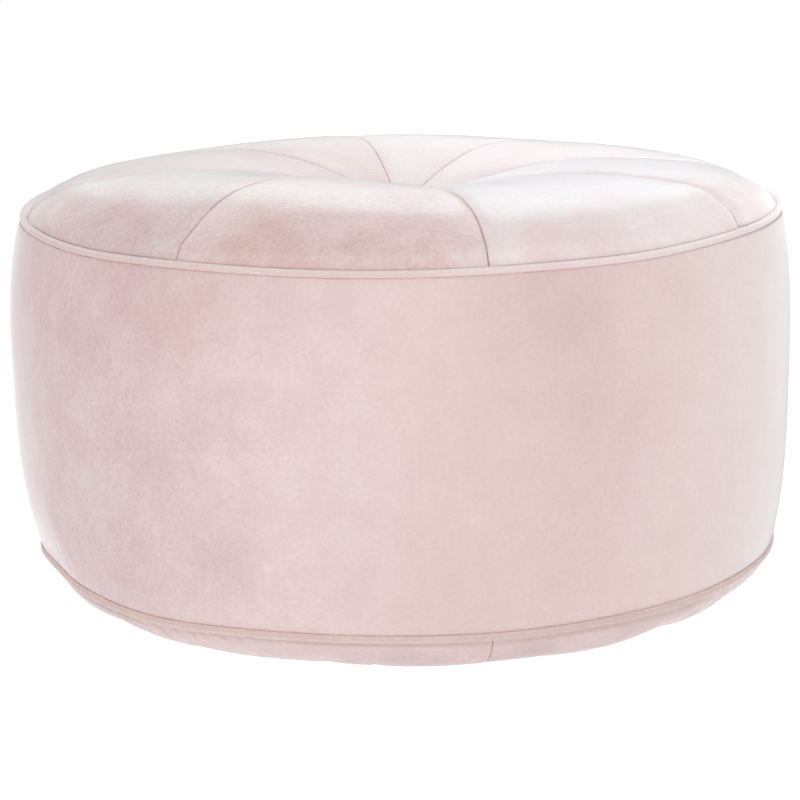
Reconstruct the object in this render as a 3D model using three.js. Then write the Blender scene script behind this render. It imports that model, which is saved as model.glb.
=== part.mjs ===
// A round velvet pouf: a filled drum with a crown of eight gores, a plain side band, a tapered base of
// eight gores, and a piping ring in each of the two round seams.
// Millimetres, +Z up, the front is -Y, and the origin is on the floor under the middle.

import * as THREE from 'three';

// Driving dimensions
const GORES = 8;
const FIRST_SEAM = 12; // degrees from the front, toward +X
const CLEARANCE = 0.3; // between any two pieces
const MIDDLE_RADIUS = 1; // where the points of the gores stop short of the axis

const PIPING_RADIUS = 3;
const TOP_RING = { radius: 294, height: 297 };
const BOTTOM_RING = { radius: 291, height: 31 };

const BAND_SWELL = 14; // how far the band stands out of a straight wall
const BAND_LEAN = 1.5; // how far the swell sits toward -X
const BAND_SQUARENESS = 3; // higher keeps the swell fuller toward both seams
const BAND_STEPS = 9;

const TUFT_BED_DEPTH = 25; // how far the hidden face under the crown dips to its middle

const STEPS_PER_GORE = 8;
const STEPS_AROUND = GORES * STEPS_PER_GORE;
const PIPING_SIDES = 8;
const GROOVE_STEPS = 2;
const ARCH_SQUARENESS = 2.4; // shape of a gore from seam to seam, higher is fuller at the seams

// The crown along a seam, from the middle to the piping. The filling sits higher toward the front.
// reach: share of the ring's radius; front and back: mm over the piping; swell: mm that a gore stands proud
const CROWN_SECTIONS = [
  { reach: 0, front: -7, back: -7, swell: 0 },
  { reach: 0.1, front: 8, back: 6.5, swell: 1 },
  { reach: 0.2, front: 20.5, back: 17, swell: 1.5 },
  { reach: 0.32, front: 28, back: 24, swell: 2 },
  { reach: 0.48, front: 36, back: 27.5, swell: 3 },
  { reach: 0.64, front: 39, back: 24.5, swell: 3.5 },
  { reach: 0.77, front: 37.5, back: 19.5, swell: 4 },
  { reach: 0.87, front: 30.5, back: 15, swell: 4 },
  { reach: 0.94, front: 20.5, back: 11, swell: 3 },
  { reach: 0.98, front: 10.5, back: 7, swell: 1.5 },
  { reach: 1, front: 3.3, back: 3.3, swell: 0 },
];

// The base along a seam, from the middle to the piping, with rise in mm above the floor.
const BASE_SECTIONS = [
  { reach: 0, rise: 0, swell: 0 },
  { reach: 0.83, rise: 0, swell: 0 },
  { reach: 0.88, rise: 2, swell: 0.8 },
  { reach: 0.92, rise: 6.5, swell: 1.6 },
  { reach: 0.96, rise: 13, swell: 2 },
  { reach: 0.985, rise: 20, swell: 1.2 },
  { reach: 1, rise: 27.7, swell: 0 },
];

// Hand-sewn unevenness, gore by gore from the first seam round to the right.
// lift: mm that the seam before the gore rides high; crown and base: fullness of the gore's swell
const GORE_TRIM = [
  { lift: -0.5, crown: 1.1, base: 1.6 },
  { lift: 2, crown: 0.6, base: 1 },
  { lift: -4.5, crown: 0.8, base: 0.9 },
  { lift: -1, crown: 0.9, base: 1 },
  { lift: 2, crown: 0.8, base: 1 },
  { lift: -1.5, crown: 0.9, base: 0.9 },
  { lift: 0, crown: 1, base: 0.8 },
  { lift: 3.5, crown: 1, base: 1.1 },
];

const radians = THREE.MathUtils.degToRad;
const seamAngle = (index) => radians(FIRST_SEAM + (index * 360) / GORES);

// The groove around a piping ring has the ring's own eight-sided section, a clearance larger.
const GROOVE_RADIUS = PIPING_RADIUS + CLEARANCE / Math.cos(Math.PI / PIPING_SIDES);

// The panels part at the ring's own height, each half a clearance above or below it.
const PARTING_TURN = THREE.MathUtils.radToDeg(Math.asin(CLEARANCE / 2 / GROOVE_RADIUS));
const ABOVE_PARTING = 180 - PARTING_TURN;
const BELOW_PARTING = 180 + PARTING_TURN;

// A point of the groove round a ring, at a turn in degrees from straight out.
function groovePoint(ring, turn) {
  const angle = radians(turn);
  return new THREE.Vector2(
    ring.radius + GROOVE_RADIUS * Math.cos(angle),
    ring.height + GROOVE_RADIUS * Math.sin(angle),
  );
}

// Points of the groove from one turn to another, both ends included.
function grooveArc(ring, from, to) {
  const points = [];
  for (let step = 0; step <= GROOVE_STEPS; step++) {
    points.push(groovePoint(ring, THREE.MathUtils.lerp(from, to, step / GROOVE_STEPS)));
  }
  return points;
}

// How much of the band's swell shows at a share of its height.
const wallSwell = (share) => 1 - Math.abs(2 * share - 1) ** BAND_SQUARENESS;

// The side band fills the drum between crown and base: a flat underside, a swelling wall with a groove
// for each piping, and a shallow dish on top where the tuft is drawn down.
function bandGeometry() {
  const profile = [new THREE.Vector2(0, BOTTOM_RING.height + CLEARANCE / 2)];
  profile.push(...grooveArc(BOTTOM_RING, ABOVE_PARTING, 90));
  const start = profile.at(-1);
  const end = groovePoint(TOP_RING, 270);
  for (let step = 1; step < BAND_STEPS; step++) {
    const share = step / BAND_STEPS;
    const point = start.clone().lerp(end, share);
    point.x += BAND_SWELL * wallSwell(share);
    profile.push(point);
  }
  profile.push(...grooveArc(TOP_RING, 270, BELOW_PARTING));
  profile.push(new THREE.Vector2(0, TOP_RING.height - TUFT_BED_DEPTH - CLEARANCE / 2));
  const geometry = new THREE.LatheGeometry(profile, STEPS_AROUND, seamAngle(0));
  geometry.rotateX(Math.PI / 2);
  const position = geometry.getAttribute('position');
  for (let index = 0; index < position.count; index++) {
    const share = (position.getZ(index) - start.y) / (end.y - start.y);
    const reach = Math.hypot(position.getX(index), position.getY(index));
    if (share > 0 && share < 1 && reach > start.x) {
      position.setX(index, position.getX(index) - BAND_LEAN * wallSwell(share));
    }
  }
  return geometry;
}

function pipingGeometry(ring) {
  const geometry = new THREE.TorusGeometry(ring.radius, PIPING_RADIUS, PIPING_SIDES, STEPS_AROUND);
  geometry.rotateZ(seamAngle(0) - Math.PI / 2);
  return geometry.translate(0, 0, ring.height);
}

// How full a gore is at a share of its width, from 0 on its seams to 1 halfway between them.
const arch = (across) => 1 - Math.abs(2 * across - 1) ** ARCH_SQUARENESS;

// The crown's seam height at a share of a gore's width, blended between front and back by the angle.
function crownRise({ reach, front, back }, gore, across) {
  const backness = (1 - Math.cos(seamAngle(gore + across))) / 2;
  const lift = THREE.MathUtils.lerp(GORE_TRIM[gore].lift, GORE_TRIM[(gore + 1) % GORES].lift, across);
  return THREE.MathUtils.lerp(front, back, backness) + lift * Math.sin(Math.PI * reach);
}

// A point of a shown face: the seam's section, raised along its own normal by the gore's swell.
function shownPoint(seamPoint, row, lastRow, outward, swell) {
  const tangent = seamPoint(Math.min(row + 1, lastRow)).sub(seamPoint(Math.max(row - 1, 0))).normalize();
  const normal = new THREE.Vector2(-tangent.y, tangent.x).multiplyScalar(outward);
  return seamPoint(row).addScaledVector(normal, swell);
}

// A gore is a box with its length along the radius, its width from seam to seam and its height from the
// hidden face to the shown one, bent into a wedge whose end is hollowed for the piping.
function goreGeometry(gore, rows, sectionPoint) {
  const geometry = new THREE.BoxGeometry(1, 1, 1, rows, STEPS_PER_GORE, GROOVE_STEPS);
  const position = geometry.getAttribute('position');
  for (let index = 0; index < position.count; index++) {
    const row = Math.round((position.getX(index) + 0.5) * rows);
    const across = position.getY(index) + 0.5;
    const level = position.getZ(index) + 0.5;
    const point = sectionPoint(row, across, level);
    const radius = Math.max(point.x, MIDDLE_RADIUS);
    const inset = Math.asin(CLEARANCE / 2 / radius);
    const angle = THREE.MathUtils.lerp(seamAngle(gore) + inset, seamAngle(gore + 1) - inset, across);
    position.setXYZ(index, radius * Math.sin(angle), -radius * Math.cos(angle), point.y);
  }
  geometry.computeVertexNormals();
  return geometry;
}

function crownGoreGeometry(gore) {
  const rows = CROWN_SECTIONS.length - 1;
  const bedMiddle = new THREE.Vector2(0, TOP_RING.height - TUFT_BED_DEPTH + CLEARANCE / 2);
  const bedEnd = groovePoint(TOP_RING, ABOVE_PARTING);
  return goreGeometry(gore, rows, (row, across, level) => {
    if (row === rows) {
      return groovePoint(TOP_RING, THREE.MathUtils.lerp(ABOVE_PARTING, 90, level));
    }
    const { reach, swell } = CROWN_SECTIONS[row];
    const bed = bedMiddle.clone().lerp(bedEnd, reach);
    const seamPoint = (index) => new THREE.Vector2(
      CROWN_SECTIONS[index].reach * TOP_RING.radius,
      TOP_RING.height + crownRise(CROWN_SECTIONS[index], gore, across),
    );
    const fullness = GORE_TRIM[gore].crown * arch(across);
    return bed.lerp(shownPoint(seamPoint, row, rows, 1, swell * fullness), level);
  });
}

function baseGoreGeometry(gore) {
  const rows = BASE_SECTIONS.length - 1;
  const roofMiddle = new THREE.Vector2(0, BOTTOM_RING.height - CLEARANCE / 2);
  const roofEnd = groovePoint(BOTTOM_RING, BELOW_PARTING);
  const seamPoint = (index) => new THREE.Vector2(
    BASE_SECTIONS[index].reach * BOTTOM_RING.radius,
    BASE_SECTIONS[index].rise,
  );
  return goreGeometry(gore, rows, (row, across, level) => {
    if (row === rows) {
      return groovePoint(BOTTOM_RING, THREE.MathUtils.lerp(270, BELOW_PARTING, level));
    }
    const { reach, swell } = BASE_SECTIONS[row];
    const roof = roofMiddle.clone().lerp(roofEnd, reach);
    const fullness = GORE_TRIM[gore].base * arch(across);
    return shownPoint(seamPoint, row, rows, -1, swell * fullness).lerp(roof, level);
  });
}

// Every piece is cut from the same velvet, and the lie of its pile makes it read lighter or darker.
const velvet = (color) => new THREE.MeshStandardMaterial({ color, roughness: 0.85, metalness: 0 });

function piece(name, geometry, color) {
  const mesh = new THREE.Mesh(geometry, velvet(color));
  mesh.name = name;
  return mesh;
}

const pouf = new THREE.Group();
pouf.add(piece('side_band', bandGeometry(), 0xe0c8c3));
pouf.add(piece('top_piping', pipingGeometry(TOP_RING), 0xd8bcb5));
pouf.add(piece('bottom_piping', pipingGeometry(BOTTOM_RING), 0xcfb3ac));
for (let gore = 0; gore < GORES; gore++) {
  pouf.add(piece(`crown_gore_${gore + 1}`, crownGoreGeometry(gore), 0xdcc4bf));
  pouf.add(piece(`base_gore_${gore + 1}`, baseGoreGeometry(gore), 0xd6bfba));
}

export default pouf;
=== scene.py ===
# A round velvet pouf: crown and base of eight gores each, a tall side band and two piping rings.
# Shapes are worked out in millimetres and turned to metres where a mesh is made. The front is -Y, and an
# azimuth is measured from the front toward +X.

import math

import bpy
import numpy as np
from mathutils import Matrix, Vector


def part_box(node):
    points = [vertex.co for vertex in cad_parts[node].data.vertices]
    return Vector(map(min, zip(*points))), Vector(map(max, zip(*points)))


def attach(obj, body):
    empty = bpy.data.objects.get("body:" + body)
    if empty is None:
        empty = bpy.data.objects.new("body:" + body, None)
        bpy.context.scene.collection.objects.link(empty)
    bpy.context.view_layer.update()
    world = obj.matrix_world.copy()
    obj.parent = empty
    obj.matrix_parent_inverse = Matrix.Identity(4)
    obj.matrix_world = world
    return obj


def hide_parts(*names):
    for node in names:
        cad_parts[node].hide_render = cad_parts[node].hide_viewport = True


def named(columns, *rows):
    """The rows of a table, each read by the names of its columns."""
    return [dict(zip(columns.split(), row)) for row in rows]


MM = 0.001
BODY = "root"
GORES = 8
FIRST_SEAM = 12.0
GORE_TURN = 360.0 / GORES
CLEARANCE = 0.3

# The camera stands where the photograph was taken from, with its place, sensor and lens in mm.
CAMERA_PLACE = (-3.0, -2227.5, 665.3)
CAMERA_PITCH = 13.35
CAMERA_ROLL = -1.03
SENSOR_WIDTH = 36.0
LENS = 128.75

# How the cloth rolls in where two panels are sewn together, in mm. ROLLED_COLUMNS: how far from a seam the
# first columns of a gore's grid lie, pressed together where they would take up more than one part in
# ROLLED_MOST of its width.
SEAM_ROLL = 1.3
STITCH_PITCH = 3.6
STITCH_DIMPLE = 0.22
STITCH_REACH = 2.2
TUCK_WIDTH = 5.0
ROLLED_COLUMNS = (0, 0.08, 0.3, 0.7, 1.3, 2.0, 3.0, 4.5, 7.0)
ROLLED_MOST = 4

# Where each panel meets its piping, as degrees round the cord from straight out, and the steps by which its
# allowance goes on round the cord, out of sight.
CROWN_SEAT = 114
CROWN_ALLOWANCE = (150, 180)
BAND_TOP_SEAT = -44
BAND_BOTTOM_SEAT = 70
BAND_TOP_ALLOWANCE = (272, 240, 210, 190)
BAND_BOTTOM_ALLOWANCE = (178, 150, 120, 88)
BASE_SEAT = 250
BASE_ALLOWANCE = (210, 180)

# Crown, from the middle to the piping, as mm over the piping ring at the front and at the back. reach is a
# share of the ring's radius, and swell is in mm, halfway between two seams.
CROWN_SECTIONS = named(
    "reach front back swell",
    (0.004, -12, -12, 0),
    (0.05, 0.5, 0, 0.4),
    (0.1, 8, 7, 0.7),
    (0.2, 21, 16.5, 1),
    (0.32, 28, 24.5, 1.2),
    (0.48, 35.5, 27.5, 1.2),
    (0.64, 40, 22.5, 1.2),
    (0.77, 38.5, 16.5, 1.2),
    (0.87, 31, 12.5, 1.2),
    (0.94, 20.5, 9.5, 1),
    (0.975, 13, 7.5, 0.6),
)
ARCH_SQUARENESS = 2.4

# Gore by gore from the first seam round to the right. lift and shoulder: mm that the seam before the gore
# rides high, along its middle and near the piping; tuck: mm that it is drawn in; turn: degrees that it is
# sewn off its even place; crown and base: fullness of the gore's swell; base_seam: how deep the seam under
# it rolls in.
GORE_TRIM = named(
    "lift shoulder tuck turn crown base base_seam",
    (0, 2, 2.2, 0, 1.6, 1.6, 0.6),
    (-0.5, 5.5, 2.4, 1.8, 0.8, 1, 1),
    (1.5, 0, 0.8, 0, 0.5, 0.9, 1),
    (1, 0, 0.8, 0, 0.5, 1, 1),
    (4.5, 0, 1, 0, 0.5, 1, 1),
    (3, 2, 0.8, 0, 0.5, 0.9, 1),
    (0.5, 4, 2, 0, 1, 0.8, 1),
    (6, -2, 0.3, 0, 1.5, 1.1, 0.3),
)
SHOULDER = dict(reach=0.9, run=0.09, ends=0.05)

# Where the crown was stuffed a little less or more than the sections say, in mm, and its soft unevenness.
CROWN_MARKS = named(
    "azimuth turn reach run rise",
    (90, 18, 0.97, 0.09, -4),
    (106, 14, 0.9, 0.08, 1.8),
    (126, 12, 0.82, 0.12, -2.8),
    (-96, 15, 0.92, 0.09, -6),
    (-115, 12, 0.86, 0.09, -2),
    (-136, 14, 0.82, 0.12, -2),
    (103, 5, 0.83, 0.05, 1.6),
)
CROWN_LUMPS = dict(size=0.7, seed=3)
LUMPS_START = 0.2
LUMPS_END = 0.04

# The side band, in mm: how far its filling pushes it out, how much of that is left to the simulation, and
# how much further out it leans on the left.
BAND_SWELL = 14.0
BAND_SETTLING = 2.0
BAND_LEAN = 2.6
BAND_SQUARENESS = 3.0
BAND_LUMPS = dict(size=0.6, seed=11, most_turns=30, most_rows=1.2)
LUMPS_ON_SWELL = 1.5

# The hollow in the band's filling that the crown lies in, in mm under the piping ring.
BAND_DISH = dict(reaches=(0.96, 0.8, 0.5, 0.2, 0.01), rim=3.0, depth=25.0)

# Base, from the middle to the piping, as mm over the floor, and where it is wider or narrower than that.
BASE_SECTIONS = named(
    "reach rise swell",
    (0.012, 0, 0),
    (0.4, 0, 0),
    (0.78, 0, 0),
    (0.835, 0.2, 0),
    (0.88, 2, 0.8),
    (0.92, 6.5, 1.6),
    (0.955, 13, 2),
    (0.98, 20.5, 1.4),
)
BASE_MARKS = named(
    "azimuth turn widening",
    (4, 16, 13),
    (30, 10, 16),
    (-54, 12, -3),
    (-28, 12, 3),
    (52, 10, 10),
    (-66, 8, 4),
)
BASE_WIDENING = dict(starts=0.6, run=0.2)

# The cloth of each panel as it is simulated. all_over, at_piping and marks: how much longer than its seam it
# was cut, as a share of its length, the last two growing from ease_from on over the run ease_run. A gored
# panel is simulated from starts on, and held as far as held_to, both as shares of the way from the middle
# to the piping. cap: mm that the cloth may move.
CROWN_CLOTH = dict(
    all_over=0.0003, at_piping=0.0008, marks=named("azimuth turn ease", (34, 12, 0.002)),
    ease_from=0.85, ease_run=0.15, rows=54, columns=30 * GORES, starts=0, held_to=0.22, cap=7,
)
BAND_CLOTH = dict(
    all_over=0.0005, at_piping=0.001, marks=named("azimuth turn ease", (-66, 22, 0.0008)),
    rows=42, columns=280, cap=6,
)
BASE_CLOTH = dict(
    all_over=0.001, at_piping=0.003, marks=named("azimuth turn ease", (-38, 16, 0.006), (55, 14, 0.004)),
    ease_from=0.75, ease_run=0.25, rows=16, columns=44 * GORES, starts=0.72, held_to=0.75, cap=4,
)
SETTLE_FRAMES = 20
CLOTH_SETTINGS = dict(
    quality=6, mass=0.25, tension_stiffness=40, compression_stiffness=25, shear_stiffness=12,
    bending_stiffness=0.35, tension_damping=12, compression_damping=12, shear_damping=12,
    use_pressure=True, uniform_pressure_force=4,
)
# The share of its swell that a gore has before it settles.
FULLNESS = 0.75
# How often the settled crown is smoothed, and from where on, toward the piping, its small creases stay.
CALMING_ROUNDS = 14
CREASED_FROM = 0.9
CREASED_RUN = 0.06

# The grids of the shown meshes. crowding and evenness: how close together their rows lie near the piping,
# and how little so. The hidden side of a crown panel dips in the middle, and the hidden side of a base panel
# lies a little under the middle of the piping, in mm.
CROWN_GRID = dict(rows=150, crowding=1.25, across=84)
BASE_GRID = dict(rows=110, crowding=1.8, across=100)
BAND_GRID = dict(rows=84, evenness=0.65, around=960)
CORD_GRID = dict(around=1100, sides=22)
CORD_LUMPS = dict(size=0.02, most_turns=80)
HIDDEN_COLUMNS = 6
CROWN_DIP = -25.0
BASE_DROP = 1

# How the rings wander from a flat circle: rise in mm, and spread, in mm out of the circle.
RING_MARK = "azimuth turn rise spread"
TOP_RING_MARKS = named(
    RING_MARK,
    (0, 30, -2, 0),
    (36, 14, -1.8, 0),
    (82, 26, -1.8, 1.5),
    (102, 15, -3.5, 0),
    (-52, 15, -2.2, 0),
    (-84, 26, -0.3, 0.8),
)
BOTTOM_RING_MARKS = named(
    RING_MARK,
    (-40, 13, -3.2, 0),
    (16, 14, -1.2, 0),
    (44, 14, -1.2, 0),
    (-69, 10, 1.6, -3.5),
    (74, 16, -1, 1.5),
)

# Rows of little folds where the cloth was drawn together along a seam. pitch: degrees from fold to fold;
# slant: mm sideways for each mm away from the seam; starts and ends: mm from the seam over which a fold fades
# in and out. The ridges beside a fold stand up by a share of its depth and are wider than it is.
RIDGE_SHARE = 0.45
RIDGE_WIDTH = 2.2
GATHER_STRAY = 0.2
GATHER_DEPTHS = (0.6, 1.2)
GATHER = "azimuth count pitch slant depth width starts ends"
BASE_GATHERS = named(
    GATHER,
    (-34, 9, 3, 0.8, 2.2, 3, 2, 15),
    (49, 9, 2.3, -0.5, 0.5, 1.9, 2, 13),
    (150, 7, 3.1, -0.7, 0.9, 2.2, 2, 14),
)
BAND_GATHERS = named(
    GATHER,
    (-66, 9, 2, 0.25, 0.45, 1.6, 2, 20),
    (128, 6, 2.6, -0.2, 0.35, 1.7, 2, 16),
)
CROWN_GATHERS = named(
    GATHER,
    (33, 7, 2.1, -0.9, 0.4, 2, 2, 12),
    (-61, 5, 2.8, 0.7, 0.35, 2.2, 2, 14),
)


def table(rows, column):
    return np.array([row[column] for row in rows], float)


def turn_between(azimuth, degrees):
    """The angle from a place given in degrees to each azimuth, the short way round, in degrees."""
    return (np.degrees(azimuth) - degrees + 180) % 360 - 180


def bell(distance, width):
    return np.exp(-((distance / width) ** 2))


def marks_round(marks, azimuth, column="rise"):
    """What marks that fade out round the pouf add up to at each azimuth."""
    return sum(mark[column] * bell(turn_between(azimuth, mark["azimuth"]), mark["turn"]) for mark in marks)


def gathered(rows, azimuth, radius, distance, seed):
    """How deep the folds of rows of gathers lie at each point, at a distance in mm from their seam."""
    random = np.random.default_rng(seed)
    total = 0 * azimuth
    for row in rows:
        past_start = np.maximum(distance - row["starts"], 0)
        fade = np.clip(distance / row["starts"], 0, 1) * bell(past_start, row["ends"])
        for step in range(row["count"]):
            off_middle = step - (row["count"] - 1) / 2 + random.uniform(-GATHER_STRAY, GATHER_STRAY)
            middle = row["azimuth"] + off_middle * row["pitch"]
            across = radius * np.radians(turn_between(azimuth, middle)) - row["slant"] * distance
            depth = row["depth"] * random.uniform(*GATHER_DEPTHS)
            fold = bell(across, row["width"]) - RIDGE_SHARE * bell(across, row["width"] * RIDGE_WIDTH)
            total = total + depth * fold * fade
    return total


def lerp(start, end, share):
    return start + (end - start) * share


def place(radius, azimuth, height):
    return np.stack([radius * np.sin(azimuth), -radius * np.cos(azimuth), height + 0 * azimuth], axis=-1)


def turned(points, degrees):
    """Points turned round the middle of the pouf, each by its own angle."""
    cosine, sine = np.cos(np.radians(degrees)), np.sin(np.radians(degrees))
    x, y = points[..., 0], points[..., 1]
    return np.stack([x * cosine - y * sine, x * sine + y * cosine, points[..., 2]], axis=-1)


def curve(knots, values, at):
    """A smooth curve through the values at the knots, read at each place of an array of any shape."""
    slopes = np.gradient(values, knots)
    index = np.clip(np.searchsorted(knots, at, side="right") - 1, 0, len(knots) - 2)
    span = knots[index + 1] - knots[index]
    t = (at - knots[index]) / span
    rest = 1 - t
    return (
        values[index] * (1 + 2 * t) * rest**2
        + values[index + 1] * (3 - 2 * t) * t**2
        + span * slopes[index] * t * rest**2
        - span * slopes[index + 1] * t**2 * rest
    )


def round_seams(values, azimuth):
    """A smooth curve round the pouf through one value for each seam."""
    share = turn_between(azimuth, FIRST_SEAM) % 360 / GORE_TURN
    seam = np.floor(share).astype(int)
    t = share - seam
    before, here, after, beyond = (values[(seam + step) % GORES] for step in (-1, 0, 1, 2))
    return 0.5 * (
        2 * here
        + (after - before) * t
        + (2 * before - 5 * here + 4 * after - beyond) * t**2
        + (3 * here - before - 3 * after + beyond) * t**3
    )


def gore_share(azimuth):
    """Which gore an azimuth lies in, and how far across it."""
    share = turn_between(azimuth, FIRST_SEAM) % 360 / GORE_TURN
    return np.floor(share).astype(int) % GORES, share % 1


def arch(across):
    return 1 - np.abs(2 * across - 1) ** ARCH_SQUARENESS


def lumps(azimuth, along, size, seed, waves=26, most_turns=17, most_rows=3.0):
    """Soft random unevenness that closes round the pouf. along runs from 0 to 1."""
    random = np.random.default_rng(seed)
    total = 0
    for _ in range(waves):
        turns = random.integers(1, most_turns)
        rows = random.uniform(-most_rows, most_rows)
        phase = random.uniform(0, 2 * math.pi)
        total = total + np.cos(turns * azimuth + 2 * math.pi * rows * along + phase) / turns**0.6
    return size * total / math.sqrt(waves)


def unit(vectors):
    return vectors / np.maximum(np.linalg.norm(vectors, axis=-1, keepdims=True), 1e-9)


def outward_normals(points, on_top=False):
    """Unit normals that point out of the pouf, of a grid whose rows run up the side, or outward on the
    underside or on top, and whose columns run round to the right."""
    normals = unit(np.cross(np.gradient(points, axis=1), np.gradient(points, axis=0)))
    return -normals if on_top else normals


class Ring:
    """A piping ring as packed: its middle line, its thickness, and the way that the line wanders."""

    def __init__(self, node, marks):
        low, high = (np.array(corner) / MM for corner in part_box(node))
        self.section = (high[2] - low[2]) / 2
        self.radius = (high[0] - low[0]) / 2 - self.section
        self.middle = (high[2] + low[2]) / 2
        self.marks = marks

    def height(self, azimuth):
        return self.middle + marks_round(self.marks, azimuth)

    def reach(self, azimuth):
        return self.radius + marks_round(self.marks, azimuth, "spread")

    def seat(self, azimuth, degrees):
        """Points on the cloth that lies round the piping, at a turn from straight out."""
        out = (self.section + CLEARANCE) * math.cos(math.radians(degrees))
        up = (self.section + CLEARANCE) * math.sin(math.radians(degrees))
        return place(self.reach(azimuth) + out, azimuth, self.height(azimuth) + up)


def new_mesh(name, points, faces):
    mesh = bpy.data.meshes.new(name)
    mesh.from_pydata((points * MM).tolist(), [], faces)
    mesh.update()
    return mesh


def grid_faces(rows, columns):
    """Quads of a grid of points, with its last column joined to the first one."""
    index = np.arange(rows * columns).reshape(rows, columns)
    index = np.concatenate([index, index[:, :1]], axis=1)
    corners = [index[:-1, :-1], index[:-1, 1:], index[1:, 1:], index[1:, :-1]]
    return np.stack(corners, axis=-1).reshape(-1, 4)


def enclosed(points, faces):
    """Six times the volume that the faces enclose, negative where they point in."""
    total = 0.0
    for step in (1, 2):
        here = [face for face in faces if len(face) > step + 1]
        if here:
            first = points[[face[0] for face in here]]
            second = points[[face[step] for face in here]]
            third = points[[face[step + 1] for face in here]]
            total += np.einsum("ij,ij->", first, np.cross(second, third))
    return total


def loft(name, loops):
    """A closed mesh from rows of points that each run once round it, with a fan over either end."""
    rows, columns = loops.shape[:2]
    ends = [loops[0].mean(axis=0), loops[-1].mean(axis=0)]
    points = np.concatenate([loops.reshape(-1, 3), ends])
    faces = grid_faces(rows, columns).tolist()
    middle = rows * columns
    last = middle - columns
    for column in range(columns):
        after = (column + 1) % columns
        faces.append([middle, after, column])
        faces.append([middle + 1, last + column, last + after])
    if enclosed(points, faces) < 0:
        faces = [face[::-1] for face in faces]
    return new_mesh(name, points, faces)


def ring_mesh(name, loops):
    """A closed mesh from rows of points, with the last row joined to the first one."""
    rows, columns = loops.shape[:2]
    points = loops.reshape(-1, 3)
    faces = (grid_faces(rows + 1, columns) % (rows * columns)).tolist()
    if enclosed(points, faces) < 0:
        faces = [face[::-1] for face in faces]
    return new_mesh(name, points, faces)


def ease_of(cloth, azimuth, near_piping):
    """How much longer than its seam the cloth is cut, at each point, with near_piping from 0 to 1."""
    marks = marks_round(cloth["marks"], azimuth, "ease")
    return cloth["all_over"] + (cloth["at_piping"] + marks) * near_piping


def settle(points, outward, held, ease, cap):
    """How far each point of a closed round of cloth moves when its filling pushes it out between the seams
    that hold it. ease is the share of its length by which the cloth is cut longer than its seam."""
    most_ease = float(ease.max())
    rows, columns = points.shape[:2]
    mesh = new_mesh("settling", points.reshape(-1, 3), grid_faces(rows, columns).tolist())
    middle = rows // 2
    if mesh.vertices[middle * columns].normal.dot(Vector(outward[middle, 0])) < 0:
        mesh.flip_normals()
    cloth = bpy.data.objects.new("settling", mesh)
    bpy.context.scene.collection.objects.link(cloth)
    for group_name, weights in (("held", held), ("firm", 1 - ease / most_ease)):
        group = cloth.vertex_groups.new(name=group_name)
        for index, weight in enumerate(weights.ravel()):
            if weight > 0:
                group.add([index], float(weight), "REPLACE")
    modifier = cloth.modifiers.new("Cloth", "CLOTH")
    settings = modifier.settings
    for name, value in CLOTH_SETTINGS.items():
        setattr(settings, name, value)
    settings.vertex_group_mass = "held"
    settings.vertex_group_shrink = "firm"
    settings.shrink_min = -most_ease
    settings.shrink_max = 0
    settings.effector_weights.gravity = 0
    modifier.collision_settings.use_collision = False
    modifier.point_cache.frame_start = 1
    modifier.point_cache.frame_end = SETTLE_FRAMES
    for frame_number in range(1, SETTLE_FRAMES + 1):
        bpy.context.scene.frame_set(frame_number)
    settled = cloth.evaluated_get(bpy.context.evaluated_depsgraph_get())
    moved = np.empty(rows * columns * 3, np.float32)
    settled.data.vertices.foreach_get("co", moved)
    movement = moved.reshape(rows, columns, 3) / MM - points
    bpy.data.objects.remove(cloth)
    bpy.context.scene.frame_set(1)
    length = np.linalg.norm(movement, axis=-1, keepdims=True)
    return movement * np.minimum(1, cap / np.maximum(length, 1e-9))


def read_field(field, row, column):
    """A field on a grid that closes round its columns, read smoothly between the grid's own points."""
    rows, columns = field.shape[:2]
    row = np.clip(row, 0, rows - 1)
    row_index = np.clip(np.floor(row).astype(int), 0, rows - 2)
    column_index = np.floor(column).astype(int)
    row_weights = spline_weights(row - row_index)
    column_weights = spline_weights(column - column_index)
    total = 0
    for i, row_weight in enumerate(row_weights):
        here = np.clip(row_index + i - 1, 0, rows - 1)
        for j, column_weight in enumerate(column_weights):
            there = (column_index + j - 1) % columns
            total = total + field[here, there] * (row_weight * column_weight)[..., None]
    return total


def spline_weights(t):
    return (
        (-t + 2 * t**2 - t**3) / 2,
        (2 - 5 * t**2 + 3 * t**3) / 2,
        (t + 4 * t**2 - 3 * t**3) / 2,
        (-(t**2) + t**3) / 2,
    )


class Gored:
    """The shown face of a round of gores as a function of a share along their section and an azimuth. The
    last point of the section is where the cloth meets the piping."""

    on_top = False

    def __init__(self, ring, sections, rises, seat_degrees, level):
        """rises: the columns that say how high the sections lie over a level in mm."""
        self.ring = ring
        seat_angle = math.radians(seat_degrees)
        seat_reach = 1 + (ring.section + CLEARANCE) * math.cos(seat_angle) / ring.radius
        seat_rise = level + (ring.section + CLEARANCE) * math.sin(seat_angle)
        self.reach = np.append(table(sections, "reach"), seat_reach)
        self.rises = [np.append(table(sections, rise), seat_rise) for rise in rises]
        self.swell = np.append(table(sections, "swell"), 0)
        steps = np.hypot(np.diff(self.reach) * ring.radius, np.diff(sum(self.rises) / len(rises)))
        self.length = steps.sum()
        self.knots = np.append(0, np.cumsum(steps)) / self.length

    def shown(self, along, azimuth):
        points = self.seam_points(along, azimuth)
        gore, across = gore_share(azimuth)
        swell = curve(self.knots, self.swell, along) * table(GORE_TRIM, self.trim)[gore] * arch(across)
        return points + outward_normals(points, self.on_top) * (FULLNESS * swell)[..., None]


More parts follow.
